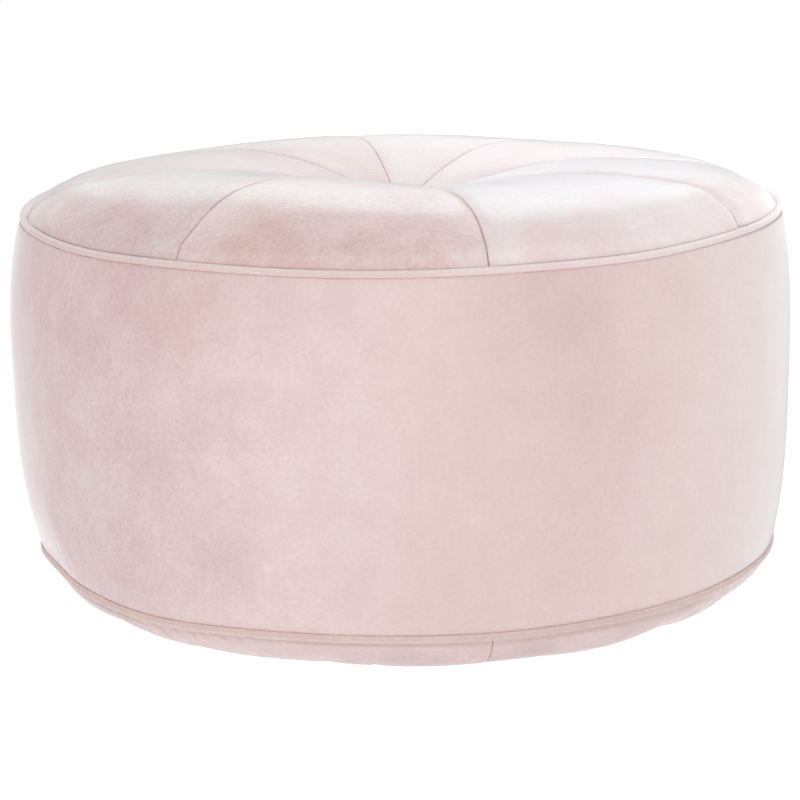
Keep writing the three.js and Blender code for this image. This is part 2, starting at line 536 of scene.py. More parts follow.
class Crown(Gored):
    trim = "crown"
    cloth = CROWN_CLOTH
    grid = CROWN_GRID
    on_top = True

    def __init__(self, ring):
        super().__init__(ring, CROWN_SECTIONS, ("front", "back"), CROWN_SEAT, level=0)

    def seam_points(self, along, azimuth):
        reach = curve(self.knots, self.reach, along)
        backness = (1 - np.cos(azimuth)) / 2
        front, back = (curve(self.knots, rise, along) for rise in self.rises)
        rise = lerp(front, back, backness)
        rise = rise + round_seams(table(GORE_TRIM, "lift"), azimuth) * np.sin(math.pi * np.clip(reach, 0, 1))
        shoulder = bell(reach - SHOULDER["reach"], SHOULDER["run"])
        shoulder = shoulder * np.clip((1 - along) / SHOULDER["ends"], 0, 1)
        rise = rise + round_seams(table(GORE_TRIM, "shoulder"), azimuth) * shoulder
        for mark in CROWN_MARKS:
            aside = bell(turn_between(azimuth, mark["azimuth"]), mark["turn"])
            rise = rise + mark["rise"] * aside * bell(reach - mark["reach"], mark["run"])
        settle_in = np.clip((1 - along) / LUMPS_END, 0, 1) * np.clip(along / LUMPS_START, 0, 1)
        rise = rise + lumps(azimuth, along, **CROWN_LUMPS) * settle_in
        return place(reach * self.ring.reach(azimuth), azimuth, self.ring.height(azimuth) + rise)


class Band:
    """The shown face of the side band as a function of a share of its height and an azimuth."""

    def __init__(self, top, bottom):
        self.top = top
        self.bottom = bottom
        self.length = top.middle - bottom.middle

    def shown(self, along, azimuth):
        low = self.bottom.seat(azimuth, BAND_BOTTOM_SEAT)
        high = self.top.seat(azimuth, BAND_TOP_SEAT)
        swell = 1 - np.abs(2 * along - 1) ** BAND_SQUARENESS
        points = lerp(low, high, along[..., None])
        radial = place(np.ones_like(azimuth), azimuth, np.zeros_like(azimuth))
        points = points + radial * ((BAND_SWELL - BAND_SETTLING) * swell)[..., None]
        points[..., 0] -= BAND_LEAN * swell
        uneven = lumps(azimuth, along, **BAND_LUMPS)
        return points + radial * (uneven * np.minimum(1, swell * LUMPS_ON_SWELL))[..., None]


class Base(Gored):
    trim = "base"
    cloth = BASE_CLOTH
    grid = BASE_GRID

    def __init__(self, ring):
        super().__init__(ring, BASE_SECTIONS, ("rise",), BASE_SEAT, level=ring.middle)

    def seam_points(self, along, azimuth):
        reach = curve(self.knots, self.reach, along)
        rise = np.maximum(curve(self.knots, self.rises[0], along), 0)
        wander = self.ring.height(azimuth) - self.ring.middle
        rise = rise + wander * np.clip(rise / self.rises[0][-1], 0, 1)
        starts, run = BASE_WIDENING["starts"], BASE_WIDENING["run"]
        widening = marks_round(BASE_MARKS, azimuth, "widening")
        widening = widening * np.clip((along - starts) / run, 0, 1) * np.clip((1 - along) / run, 0, 1)
        return place(reach * self.ring.reach(azimuth) + widening, azimuth, rise)

    def shown(self, along, azimuth):
        points = super().shown(along, azimuth)
        points[..., 2] = np.maximum(points[..., 2], 0)
        return points


def gore_columns(width, inner_steps):
    """Distances from a gore's first seam of its columns, closest together where the cloth rolls in."""
    edge = np.array(ROLLED_COLUMNS)
    scale = np.minimum(1, width / ROLLED_MOST / edge[-1])
    start = edge[None, :] * scale[:, None]
    inner = np.linspace(0, 1, inner_steps)[1:-1]
    middle = lerp(start[:, -1:], width[:, None] - start[:, -1:], inner[None, :])
    return np.concatenate([start, middle, width[:, None] - start[:, ::-1]], axis=1)


def rolled(distance, roll):
    """How far the cloth has turned in at a distance from its seam."""
    share = np.clip(1 - distance / roll, 0, 1)
    return roll * (1 - np.sqrt(1 - share**2))


def gore_grid(face, gore):
    """Shares along and azimuths of a gore's grid, with each column's distance to its nearest seam. Its rows
    crowd toward the piping."""
    even = np.linspace(0, 1, face.grid["rows"])
    along = (1 - (1 - even) ** face.grid["crowding"])[:, None]
    radius = np.linalg.norm(face.seam_points(along, np.zeros_like(along))[..., :2], axis=-1)[:, 0]
    width = radius * math.radians(GORE_TURN) - CLEARANCE
    distance = gore_columns(width, face.grid["across"])
    start = math.radians(FIRST_SEAM + gore * GORE_TURN)
    azimuth = start + (distance + CLEARANCE / 2) / radius[:, None]
    nearest = np.minimum(distance, width[:, None] - distance)
    return np.broadcast_to(along, azimuth.shape), azimuth, nearest


def sewn_gore(face, field, gore):
    """The shares along and azimuths of a gore's grid, the distance of its columns to their nearest seam, the
    points of its settled cloth, and how far the cloth rolls in at each point."""
    along, azimuth, nearest = gore_grid(face, gore)
    points = face.shown(along, azimuth)
    if field is not None:
        points = points + read_settled(face.cloth, field, along, azimuth)
    stitch = np.cos(2 * math.pi * along * face.length / STITCH_PITCH)
    roll = rolled(nearest, SEAM_ROLL) + STITCH_DIMPLE * (1 + stitch) * bell(nearest, STITCH_REACH)
    return along, azimuth, nearest, points, roll


def build_crown_gore(face, field, gore):
    along, azimuth, nearest, points, roll = sewn_gore(face, field, gore)
    roll = roll + round_seams(table(GORE_TRIM, "tuck"), azimuth) * bell(nearest, TUCK_WIDTH)
    roll = roll + gathered(CROWN_GATHERS, azimuth, face.ring.radius, (1 - along) * face.length, seed=31)
    points = points - outward_normals(points, on_top=True) * roll[..., None]
    allowance = [face.ring.seat(azimuth[-1], degrees) for degrees in CROWN_ALLOWANCE]
    turn = round_seams(table(GORE_TRIM, "turn"), azimuth)
    shown = turned(np.concatenate([points, np.stack(allowance)]), np.concatenate([turn, turn[-2:]]))
    bed = hidden_columns(shown, face.ring.middle - CLEARANCE, CROWN_DIP)
    return loft(f"crown_panel_{gore + 1}", np.concatenate([shown, bed], axis=1))


def hidden_columns(shown, level, dip):
    """The hidden side of a panel: a few points in each row, from its last column back to its first."""
    shares = np.linspace(0, 1, HIDDEN_COLUMNS)[None, :, None]
    hidden = lerp(shown[:, -1:], shown[:, :1], shares)
    radius = np.linalg.norm(hidden[..., :2], axis=-1)
    hidden[..., 2] = level + dip * (1 - radius / radius.max())
    return hidden


def calmed(field, near_piping):
    """The way the crown has settled, without its smallest creases away from the piping."""
    smooth = field
    for _ in range(CALMING_ROUNDS):
        padded = np.concatenate([smooth[:1], smooth, smooth[-1:]])
        along = (padded[:-2] + 2 * smooth + padded[2:]) / 4
        smooth = (np.roll(along, 1, axis=1) + 2 * along + np.roll(along, -1, axis=1)) / 4
    return lerp(smooth, field, near_piping[..., None])


def settle_gores(face):
    """How a round of gores settles, and the share along it of each point."""
    cloth = face.cloth
    columns = cloth["columns"]
    azimuth = np.radians(FIRST_SEAM) + np.arange(columns) * 2 * math.pi / columns
    along, azimuth = np.meshgrid(np.linspace(cloth["starts"], 1, cloth["rows"]), azimuth, indexing="ij")
    points = face.shown(along, azimuth)
    held = np.zeros(along.shape)
    held[:, :: columns // GORES] = 1
    held[along < cloth["held_to"]] = 1
    held[-1:] = 1
    ease = ease_of(cloth, azimuth, np.clip((along - cloth["ease_from"]) / cloth["ease_run"], 0, 1))
    return settle(points, outward_normals(points, face.on_top), held, ease, cloth["cap"]), along


def settle_crown(face):
    field, along = settle_gores(face)
    return calmed(field, np.clip((along - CREASED_FROM) / CREASED_RUN, 0, 1))


def settle_band(face):
    azimuth = np.arange(BAND_CLOTH["columns"]) * 2 * math.pi / BAND_CLOTH["columns"]
    along, azimuth = np.meshgrid(np.linspace(0, 1, BAND_CLOTH["rows"]), azimuth, indexing="ij")
    points = face.shown(along, azimuth)
    held = np.zeros(along.shape)
    held[:1] = 1
    held[-1:] = 1
    ease = ease_of(BAND_CLOTH, azimuth, np.clip(np.abs(2 * along - 1) * 2 - 1, 0, 1))
    return settle(points, outward_normals(points), held, ease, BAND_CLOTH["cap"])


def read_settled(cloth, field, along, azimuth):
    """How far each point of a gore has settled."""
    row = (along - cloth["starts"]) / (1 - cloth["starts"]) * (cloth["rows"] - 1)
    column = turn_between(azimuth, FIRST_SEAM) % 360 / 360 * cloth["columns"]
    return read_field(field, row, column) * (along >= cloth["starts"])[..., None]


def build_band(face, field):
    even = np.linspace(0, 1, BAND_GRID["rows"])
    along = lerp((1 - np.cos(math.pi * even)) / 2, even, BAND_GRID["evenness"])
    azimuth = np.arange(BAND_GRID["around"]) * 2 * math.pi / BAND_GRID["around"]
    along, azimuth = np.meshgrid(along, azimuth, indexing="ij")
    points = face.shown(along, azimuth)
    if field is not None:
        column = azimuth / (2 * math.pi) * field.shape[1]
        points = points + read_field(field, along * (field.shape[0] - 1), column)
    depth = gathered(BAND_GATHERS, azimuth, face.bottom.radius, along * face.length, seed=33)
    points = points - outward_normals(points) * depth[..., None]
    line = azimuth[0]
    below = [face.bottom.seat(line, degrees) for degrees in BAND_BOTTOM_ALLOWANCE]
    above = [face.top.seat(line, degrees) for degrees in BAND_TOP_ALLOWANCE]
    rim = face.top.middle - BAND_DISH["rim"]
    dish = [
        place(share * face.top.reach(line), line, rim - BAND_DISH["depth"] * (1 - share))
        for share in BAND_DISH["reaches"]
    ]
    loops = np.concatenate([np.stack(below), points, np.stack(above), np.stack(dish)])
    return loft("side_panel", loops)


def build_piping(name, ring, seed):
    around, sides = CORD_GRID["around"], CORD_GRID["sides"]
    azimuth = np.arange(around) * 2 * math.pi / around
    angle = np.arange(sides) * 2 * math.pi / sides
    azimuth, angle = np.meshgrid(azimuth, angle, indexing="ij")
    thickness = ring.section * (1 + lumps(azimuth, 0 * azimuth, seed=seed, **CORD_LUMPS))
    radius = ring.reach(azimuth) + thickness * np.cos(angle)
    height = ring.height(azimuth) + thickness * np.sin(angle)
    return ring_mesh(name, place(radius, azimuth, height))


def build_base_gore(face, field, gore):
    along, azimuth, _, points, roll = sewn_gore(face, field, gore)
    roll = roll * np.clip(round_seams(table(GORE_TRIM, "base_seam"), azimuth), 0, 1)
    roll = roll + gathered(BASE_GATHERS, azimuth, face.ring.radius, (1 - along) * face.length, seed=32)
    points = points - outward_normals(points) * roll[..., None]
    points[..., 2] = np.maximum(points[..., 2], 0)
    allowance = [face.ring.seat(azimuth[-1], degrees) for degrees in BASE_ALLOWANCE]
    shown = np.concatenate([points, np.stack(allowance)])
    roof = hidden_columns(shown, face.ring.middle - BASE_DROP, dip=0)
    return loft(f"base_panel_{gore + 1}", np.concatenate([shown, roof], axis=1))


# The velvet's own colour, and what multiplies it where its marks are darkest and palest, and the tint of a
# painted sheen: a painted highlight that whitens the cloth on level tops and where it is set paler.
BLUSH = (0.785, 0.640, 0.620)
ROSE = (0.960, 0.895, 0.915)
PALE = (1.030, 1.055, 1.055)
PAINTED_SHEEN_TINT = (1.16, 1.32, 1.36)

# What multiplies the colour deep in a seam: painted light that lifts the shade there on the side band and the
# top cord, and beside the base and the bottom cord; painted shade that deepens it between the crown's gores.
SEAM_PAINTED_LIGHT = (1.12, 1.05, 1.03)
BASE_SEAM_PAINTED_LIGHT = (1.14, 1.06, 1.04)
CROWN_SEAM_PAINTED_SHADE = (0.98, 0.88, 0.86)
# How open a place has to be within reach not to count as in a seam, and how closed it is deep in one, which
# sets how much of the painted seam light and shade it takes.
CREVICE = dict(reach=4 * MM, open=0.94, closed=0.5, samples=6)

# The marks in the pile, from the widest to the finest. share: how much of a mark each one makes up.
PATCHES = dict(scale=11.0, detail=4.0, distortion=0.2, share=0.42)
HAND_MARKS = dict(scale=42.0, detail=6.0, distortion=0.4, share=0.34)
STREAKS = dict(scale=200.0, detail=3.0, distortion=0.0, share=0.12)
PILE = dict(scale=900.0, detail=2.0, distortion=0.0, share=0.12)
MARK_CONTRAST = dict(ruffled=3.6, least=1.2)

# The mottle over the marks, and how strongly it shows in red, green and blue.
GRAIN = dict(scale=330.0, detail=3.0, distortion=0.0)
GRAIN_COLOUR = (0.175, 0.185, 0.195)
GRAIN_CONTRAST = dict(ruffled=0.85, least=0.3)

# How rough the pile stands, with its depth in m.
BUMP = dict(hand_marks=1.5, strength=0.25, depth=0.4 * MM)

# How the pile lies round the side band, with painted light and shade: tone is how light it reads, partly from
# the lie of the pile and partly painted light and shade where the lamps light the band more and less; warmth
# leans it to cream or to mauve, pale says how strongly a painted highlight whitens it, and ruffled
# how strongly hands have marked it.
LIE_AND_LIGHT = "azimuth tone warmth pale ruffled"
SIDE_PILE_AND_LIGHT = named(
    LIE_AND_LIGHT,
    (-180, 1, 0, 0, 0.55),
    (-140, 0.97, -0.005, 0, 0.8),
    (-105, 0.99, -0.008, 0, 0.6),
    (-80, 1, -0.006, 0.05, 0.6),
    (-60, 1.01, -0.007, 0.03, 1),
    (-42, 0.975, -0.005, 0, 1),
    (-27, 1.01, -0.002, 0.02, 0.8),
    (-17, 1.025, -0.003, 0.06, 0.6),
    (-6, 1.01, -0.002, 0.03, 0.4),
    (7, 0.98, 0.002, 0, 0.25),
    (28, 0.945, 0.004, 0.04, 0.3),
    (45, 0.925, 0.013, 0.34, 0.2),
    (60, 0.88, 0.005, 0.64, 0.2),
    (78, 0.86, 0, 0.85, 0.2),
    (110, 0.96, 0.002, 0.25, 0.45),
    (145, 1, 0.004, 0, 0.6),
    (180, 1, 0, 0, 0.55),
)

# Each gore is cut at its own turn, so its pile reads a little lighter or darker than the next one's; its tone
# and pale also hold painted light and shade for how the lamps fall on it. pale_on_top: how
# strongly a painted highlight whitens it where the cloth lies level, from where its normal points up by the
# share level on; shade: the share of the painted seam shade tint that it takes, lower for darker.
CROWN_PILE_AND_LIGHT = named(
    "tone warmth pale pale_on_top level ruffled shade",
    (0.975, 0.001, 0.7, 0.6, 0.84, 0.4, 0.85),
    (1.02, 0, 0.85, 0.35, 0.92, 0.4, 0.55),
    (1.05, 0, 0.85, 0.2, 0.92, 0.3, 1),
    (1.01, 0, 0.95, 0.1, 0.92, 0.4, 1),
    (0.96, 0, 0.5, 0.2, 0.92, 0.6, 1),
    (0.935, -0.002, 0.2, 0.3, 0.92, 0.8, 0.85),
    (0.94, -0.001, 0.03, 0.85, 0.92, 1.3, 0.9),
    (1, 0.001, 0.03, 0.8, 0.92, 1.1, 1),
)

# Where hands have brushed the pile the other way, and where light and shade are painted on: radius, height
# and size in mm, and what multiplies the colour there. A marked place fades out between two shares of its
# size, and noise makes its edge wander.
BRUSHED_AND_PAINTED_EDGE = dict(wander=0.05, scale=24.0, detail=6.0, outside=1.3, inside=0.3)
BRUSHED_AND_PAINTED_PLACE = "azimuth radius height size tint"
# On the side, the darker places along the top, just under the cord, are painted shade; the rest are marks in
# the pile.
SIDE_BRUSHED_AND_PAINTED_SHADE = named(
    BRUSHED_AND_PAINTED_PLACE,
    (-46, 305, 267, 55, (0.975, 0.92, 0.93)),
    (-60, 305, 270, 50, (0.98, 0.94, 0.97)),
    (-33, 305, 275, 48, (0.95, 0.91, 0.91)),
    (-21, 305, 279, 42, (0.95, 0.92, 0.92)),
    (-11, 305, 277, 32, (0.975, 0.965, 0.965)),
    (-26, 305, 195, 32, (0.95, 0.94, 0.95)),
    (-33, 305, 205, 26, (1.01, 1.02, 1.03)),
    (-36, 300, 90, 40, (1.01, 1.015, 1.02)),
    (-66, 300, 80, 50, (0.96, 0.94, 0.95)),
    (-25, 300, 85, 30, (0.95, 0.95, 0.96)),
    (-10, 305, 150, 60, (1.01, 1.02, 1.03)),
    (7, 305, 210, 60, (1, 0.99, 0.98)),
    (5, 305, 65, 50, (0.98, 0.97, 0.97)),
    (21, 305, 228, 50, (0.97, 0.96, 0.95)),
    (15, 305, 280, 48, (0.96, 0.94, 0.935)),
    (23, 305, 275, 44, (0.97, 0.955, 0.95)),
    (29, 305, 200, 40, (0.975, 0.965, 0.965)),
    (43, 305, 268, 30, (0.98, 0.97, 0.96)),
    (40, 305, 130, 60, (1.015, 1.025, 1.03)),
    (32, 305, 65, 50, (1.02, 1.03, 1.03)),
    (150, 305, 200, 60, (0.95, 0.92, 0.93)),
    (-120, 305, 120, 60, (0.96, 0.93, 0.94)),
)
# On the crown these are partly marks in the pile and partly painted light: the lighter places at the left end
# and on the tops are painted highlights, and the darker places just above the piping and at the right end are
# painted shade.
CROWN_BRUSHED_AND_PAINTED_LIGHT = named(
    BRUSHED_AND_PAINTED_PLACE,
    (-88, 285, 312, 42, (1.07, 1.1, 1.1)),
    (-72, 266, 321, 55, (1.08, 1.14, 1.13)),
    (-52, 264, 322, 26, (0.97, 0.93, 0.93)),
    (-43, 275, 318, 26, (0.97, 0.93, 0.93)),
    (-63, 284, 308, 36, (1.05, 1.07, 1.07)),
    (-72, 288, 306, 30, (1.04, 1.07, 1.07)),
    (-36, 278, 316, 24, (1.02, 1.04, 1.04)),
    (-30, 275, 318, 22, (1.03, 1.05, 1.05)),
    (-31, 245, 328, 22, (1.04, 1.07, 1.07)),
    (-21, 277, 316, 32, (0.97, 0.91, 0.89)),
    (-24, 290, 302, 20, (0.95, 0.88, 0.87)),
    (-14, 290, 302, 24, (0.95, 0.88, 0.87)),
    (-5, 286, 310, 24, (0.96, 0.93, 0.92)),
    (3, 290, 302, 22, (0.97, 0.93, 0.93)),
    (8, 272, 322, 26, (1.02, 1.04, 1.04)),
    (9, 240, 330, 24, (1.03, 1.06, 1.06)),
    (15, 270, 320, 18, (1.02, 1.03, 1.03)),
    (20, 286, 306, 26, (0.975, 0.935, 0.915)),
    (29, 280, 312, 26, (0.975, 0.95, 0.93)),
    (46, 265, 322, 50, (1.03, 1.055, 1.055)),
    (78, 274, 314, 50, (0.96, 0.94, 0.93)),
    (68, 285, 310, 34, (0.95, 0.925, 0.915)),
    (93, 288, 306, 45, (0.93, 0.9, 0.89)),
    (-112, 278, 304, 36, (1.04, 1.05, 1.06)),
    (-130, 278, 304, 40, (1.04, 1.05, 1.06)),
    (-120, 130, 325, 40, (0.95, 0.92, 0.93)),
)

# Painted shade beside the seam on the right of the front, on the second gore, where the first gore's edge
# shades it.
PAINTED_SHADE_BY_SEAM = [
    dict(azimuth=60.5, radius=radius, height=345 - 0.11 * radius, size=11, tint=(0.965, 0.945, 0.94))
    for radius in np.linspace(150, 284, 14)
]
PAINTED_SHADE_BY_SEAM_GORE = 1

# Painted shade low on the front of the base, where it nears the floor.
PAINTED_BASE_SHADE = [
    dict(azimuth=azimuth, radius=276, height=-10, size=30, tint=tint)
    for azimuth, tint in (
        (-20, (0.95, 0.94, 0.94)),
        (-8, (0.92, 0.9, 0.9)),
        (1, (0.9, 0.88, 0.88)),
        (8, (0.89, 0.87, 0.87)),
        (15, (0.89, 0.87, 0.87)),
        (22, (0.89, 0.87, 0.87)),
        (29, (0.91, 0.89, 0.89)),
        (37, (0.93, 0.91, 0.91)),
        (46, (0.94, 0.93, 0.93)),
    )
]

# How the pile lies round the cords and the base, with painted light and shade in its tone and a painted
# highlight in its pale.
TOP_CORD_PILE_AND_LIGHT = named(
    LIE_AND_LIGHT,
    (-180, 1, 0, 0.1, 0.3),
    (-60, 0.97, 0.004, 0, 0.3),
    (0, 0.98, 0.004, 0, 0.3),
    (35, 0.97, 0.002, 0.35, 0.3),
    (70, 0.95, 0.002, 0.35, 0.3),
    (180, 1, 0, 0.1, 0.3),
)
BOTTOM_CORD_PILE_AND_LIGHT = named(
    LIE_AND_LIGHT,
    (-180, 0.93, 0.006, 0, 0.4),
    (-50, 0.96, 0.02, -0.1, 0.4),
    (-25, 0.96, 0.018, -0.08, 0.4),
    (0, 0.92, 0.019, -0.08, 0.4),
    (45, 0.83, 0.014, -0.1, 0.4),
    (180, 0.93, 0.006, 0, 0.4),
)
BASE_PILE_AND_LIGHT = named(
    LIE_AND_LIGHT,
    (-180, 0.92, 0, 0, 0.5),
    (-60, 0.95, -0.002, 0.04, 0.5),
    (-30, 0.98, -0.002, 0.04, 0.5),
    (0, 0.94, -0.002, 0, 0.5),
    (30, 0.91, 0, 0, 0.5),
    (180, 0.92, 0, 0, 0.5),
)

# Where a crown panel and a cord count as level for their painted sheen, by how far their normal points up.
LEVEL_CROWN = 0.988
LEVEL_CORD = (0.1, 0.95)
# A colour ramp's stops hold no more than 1, so they hold this share of the colour.
RAMP_SHARE = 0.5


class Nodes:
    """Adds nodes to a material's tree and links them."""

    def __init__(self, tree):
        self.tree = tree

    def add(self, kind, inputs=(), **settings):
        node = self.tree.nodes.new(kind)
        for name, value in settings.items():
            setattr(node, name, value)
        for name, value in dict(inputs).items():
            if isinstance(value, bpy.types.NodeSocket):
                self.tree.links.new(value, node.inputs[name])
            else:
                node.inputs[name].default_value = value
        return node

    def noise(self, vector, scale, detail, distortion):
        inputs = {"Vector": vector, "Scale": scale, "Detail": detail, "Distortion": distortion}
        return self.add("ShaderNodeTexNoise", inputs).outputs["Fac"]

    def math(self, operation, first, second):
        return self.add("ShaderNodeMath", {0: first, 1: second}, operation=operation).outputs[0]

    def mix(self, factor, first, second):
        node = self.add("ShaderNodeMix", data_type="RGBA")
        for socket, value in ((node.inputs[0], factor), (node.inputs[6], first), (node.inputs[7], second)):
            if isinstance(value, bpy.types.NodeSocket):
                self.tree.links.new(value, socket)
            else:
                socket.default_value = value
        return node.outputs[2]

    def stretched(self, vector, scale):
        return self.add("ShaderNodeMapping", {"Vector": vector, "Scale": scale}).outputs[0]

    def vector(self, operation, first, second):
        return self.add("ShaderNodeVectorMath", {0: first, 1: second}, operation=operation)

    def times(self, colour, other):
        return self.vector("MULTIPLY", colour, other).outputs[0]

    def plus(self, colour, other):
        return self.vector("ADD", colour, other).outputs[0]

    def distance(self, first, second):
        return self.vector("DISTANCE", first, second).outputs["Value"]

    def scaled(self, colour, share):
        return self.add("ShaderNodeVectorMath", {0: colour, "Scale": share}, operation="SCALE").outputs[0]

    def contrast(self, noise, ruffled, kind):
        """Noise about zero, as strong as the cloth is ruffled."""
        strength = self.math("ADD", self.math("MULTIPLY", ruffled, kind["ruffled"]), kind["least"])
        return self.math("MULTIPLY", self.math("SUBTRACT", noise, 0.5), strength)


def shade(colour, tint):
    return (*(channel * share for channel, share in zip(colour, tint)), 1)


def lie_and_light_of(row):
    """What the lie of the pile and its painted light, shade and highlight do to the cloth's colour."""
    warm, cool = 1 + row["warmth"], 1 - 2 * row["warmth"]
    # away: a painted sheen, a painted highlight that whitens the cloth by its pale share.
    away = [lerp(1, channel, row["pale"]) for channel in PAINTED_SHEEN_TINT]
    return tuple(row["tone"] * share * channel for share, channel in zip((warm, 1, cool), away))


def pile_and_light_round(nodes, place_in_cloth, rows):
    """The lie of the pile with its painted light, shade and highlight, as a colour to multiply by, and how
    ruffled it is, by the azimuth.
    """
    axes = nodes.add("ShaderNodeSeparateXYZ", {0: place_in_cloth}).outputs
    azimuth = nodes.math("ARCTAN2", axes["X"], nodes.math("MULTIPLY", axes["Y"], -1.0))
    turn = nodes.add("ShaderNodeMapRange", {0: azimuth, 1: -math.pi, 2: math.pi}).outputs[0]
    ramp = nodes.add("ShaderNodeValToRGB", {0: turn})
    ramp.color_ramp.interpolation = "CARDINAL"
    stops = ramp.color_ramp.elements
    for _ in rows[2:]:
        stops.new(0.5)
    for stop, row in zip(stops, rows):
        stop.position = row["azimuth"] / 360 + 0.5
        stop.color = [RAMP_SHARE * channel for channel in (*lie_and_light_of(row), row["ruffled"])]
    ruffled = nodes.math("DIVIDE", ramp.outputs["Alpha"], RAMP_SHARE)
    return nodes.scaled(ramp.outputs["Color"], 1 / RAMP_SHARE), ruffled


def brushed_and_painted_places(nodes, cloth, place_in_cloth, marks):
    """The cloth's colour with its marked places, some where the pile lies the other way and some with painted
    light and shade, whose edges wander.
    """
    inputs = {"Vector": place_in_cloth, "Scale": BRUSHED_AND_PAINTED_EDGE["scale"], "Detail": BRUSHED_AND_PAINTED_EDGE["detail"]}
    noise = nodes.add("ShaderNodeTexNoise", inputs).outputs["Color"]
    wander = nodes.scaled(nodes.plus(noise, (-0.5, -0.5, -0.5)), BRUSHED_AND_PAINTED_EDGE["wander"])
    wandering = nodes.plus(place_in_cloth, wander)
    for mark in marks:
        middle = place(mark["radius"], math.radians(mark["azimuth"]), mark["height"]) * MM
        away = nodes.distance(wandering, middle.tolist())
        outside, inside = (mark["size"] * MM * BRUSHED_AND_PAINTED_EDGE[name] for name in ("outside", "inside"))
        limits = {0: away, 1: outside, 2: inside}
        share = nodes.add("ShaderNodeMapRange", limits, interpolation_type="SMOOTHSTEP").outputs[0]
        cloth = nodes.mix(share, cloth, nodes.times(cloth, mark["tint"]))
    return cloth


def velvet(
    name, pile, streaks_along=(1, 1, 1), brushed_and_painted=(), pale_on_top=0.0, level=LEVEL_CORD, seam_paint=SEAM_PAINTED_LIGHT
):
    """Short-pile velvet. pile says how its pile lies, with painted light, shade and highlight, as one row or
    as rows round the pouf; streaks_along: the scale of its streaks along each axis, where less than 1 draws
    them out; pale_on_top and level: how strongly a painted highlight whitens it where the cloth lies level;
    seam_paint: its painted light and shade deep in a seam."""
    material = bpy.data.materials.new(name)
    material.use_nodes = True
    nodes = Nodes(material.node_tree)
    shader = material.node_tree.nodes["Principled BSDF"]
    place_in_cloth = nodes.add("ShaderNodeTexCoord").outputs["Object"]
    patches, hand_marks, pile_noise, grain = (
        nodes.noise(place_in_cloth, kind["scale"], kind["detail"], kind["distortion"])
        for kind in (PATCHES, HAND_MARKS, PILE, GRAIN)
    )
    drawn_out = nodes.stretched(place_in_cloth, streaks_along)
    streaks = nodes.noise(drawn_out, STREAKS["scale"], STREAKS["detail"], STREAKS["distortion"])
    if isinstance(pile, dict):
        lie, ruffled = lie_and_light_of(pile), pile["ruffled"]
    else:
        lie, ruffled = pile_and_light_round(nodes, place_in_cloth, pile)
    marked = 0.0
    for noise, kind in ((patches, PATCHES), (hand_marks, HAND_MARKS), (streaks, STREAKS), (pile_noise, PILE)):
        marked = nodes.math("ADD", marked, nodes.math("MULTIPLY", noise, kind["share"]))
    marked = nodes.math("ADD", nodes.contrast(marked, ruffled, MARK_CONTRAST), 0.5)
    cloth = nodes.mix(marked, shade(BLUSH, ROSE), shade(BLUSH, PALE))
    cloth = nodes.times(cloth, lie)
    cloth = nodes.plus(cloth, nodes.scaled(GRAIN_COLOUR, nodes.contrast(grain, ruffled, GRAIN_CONTRAST)))
    cloth = brushed_and_painted_places(nodes, cloth, place_in_cloth, brushed_and_painted)
    # A painted highlight: where the normal points up, the cloth is whitened by the painted sheen tint.
    if pale_on_top:
        normal = nodes.add("ShaderNodeNewGeometry").outputs["Normal"]
        upright = nodes.add("ShaderNodeSeparateXYZ", {0: normal}).outputs["Z"]
        limits = {0: upright, 1: level[0], 2: level[1], 4: pale_on_top}
        painted_sheen_share = nodes.add("ShaderNodeMapRange", limits, interpolation_type="SMOOTHSTEP").outputs[0]
        cloth = nodes.mix(painted_sheen_share, cloth, nodes.times(cloth, PAINTED_SHEEN_TINT))
    # Painted light and shade in a seam: where ambient occlusion finds the cloth hidden, it takes its painted
    # seam tint.
    inputs = {"Distance": CREVICE["reach"]}
    hidden = nodes.add("ShaderNodeAmbientOcclusion", inputs, samples=CREVICE["samples"]).outputs["AO"]
    depth = nodes.add("ShaderNodeMapRange", {0: hidden, 1: CREVICE["open"], 2: CREVICE["closed"]}).outputs[0]
    cloth = nodes.mix(depth, cloth, nodes.times(cloth, seam_paint))
    material.node_tree.links.new(cloth, shader.inputs["Base Color"])
    height = nodes.math("ADD", pile_noise, nodes.math("MULTIPLY", hand_marks, BUMP["hand_marks"]))
    inputs = {"Height": height, "Strength": BUMP["strength"], "Distance": BUMP["depth"]}
    bump = nodes.add("ShaderNodeBump", inputs)
    material.node_tree.links.new(bump.outputs[0], shader.inputs["Normal"])
    shader.inputs["Roughness"].default_value = 0.85
    shader.inputs["Specular IOR Level"].default_value = 0.1
    shader.inputs["Sheen Weight"].default_value = 1.0
    shader.inputs["Sheen Roughness"].default_value = 0.3
    shader.inputs["Sheen Tint"].default_value = (0.95, 0.98, 1, 1)
    return material


# How strongly the world and the floor light the pouf. The camera sees both of them white.
SKY_GLOW = 0.02
FLOOR_GLOW = 0.98
FLOOR_REACH = 14.0

# Round lamps that all point at one place on the pouf, with their places and sizes in m.
LIT_PLACE = (0, 0, 0.2)
LAMPS = named(
    "name stand size watts",
    ("overhead", (0, 0, 2.6), 2, 13),
    ("back", (0, 2.2, 1.9), 2, 42),
    ("front_high", (-0.6, -2.2, 2), 1.2, 41),
    ("right", (2.4, -0.6, 0.8), 1.4, 17),
    ("right_back", (2.1, 1.6, 1.2), 1.6, 26),
    ("left_back", (-2.1, 1.6, 1.2), 1.6, 12),
)


